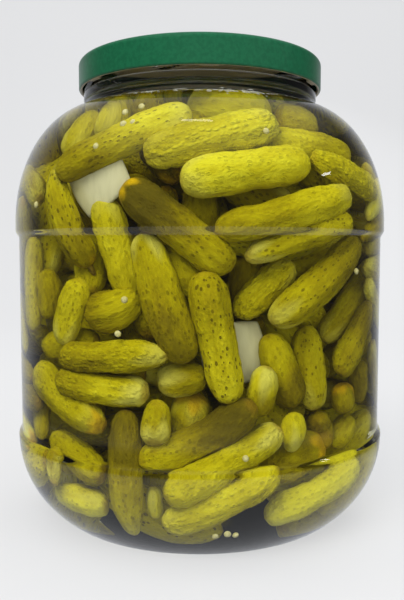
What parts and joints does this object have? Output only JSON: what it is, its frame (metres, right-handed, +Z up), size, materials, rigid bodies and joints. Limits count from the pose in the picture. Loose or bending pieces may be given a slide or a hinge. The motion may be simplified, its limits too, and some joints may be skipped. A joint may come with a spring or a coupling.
{
  "type": "pickle jar",
  "caption": "Large wide-mouthed glass jar filled with small pickled gherkins in brine, closed with a twist-off metal cap.",
  "frame": {"origin": "centre of the ring on which the jar stands, on the table", "axes": "+Z up along the jar's axis; the front, where the large piece of onion shows, faces -Y; +X is to the right of it"},
  "size_m": [0.173, 0.173, 0.2095],
  "materials": {
    "jar_glass": "clear and glossy",
    "cap_paint": "glossy green lacquer on tinplate",
    "brine": "clear liquid with a yellow-green tint",
    "gherkin": "wet gherkin skin, warty, yellow-green with darker spots",
    "onion": "wet white onion flesh",
    "spice": "soaked mustard seed and allspice berries"
  },
  "bodies": {
    "root": {"jar": "jar_glass", "cap": "cap_paint", "filling": "brine"}
  },
  "joints": []
}
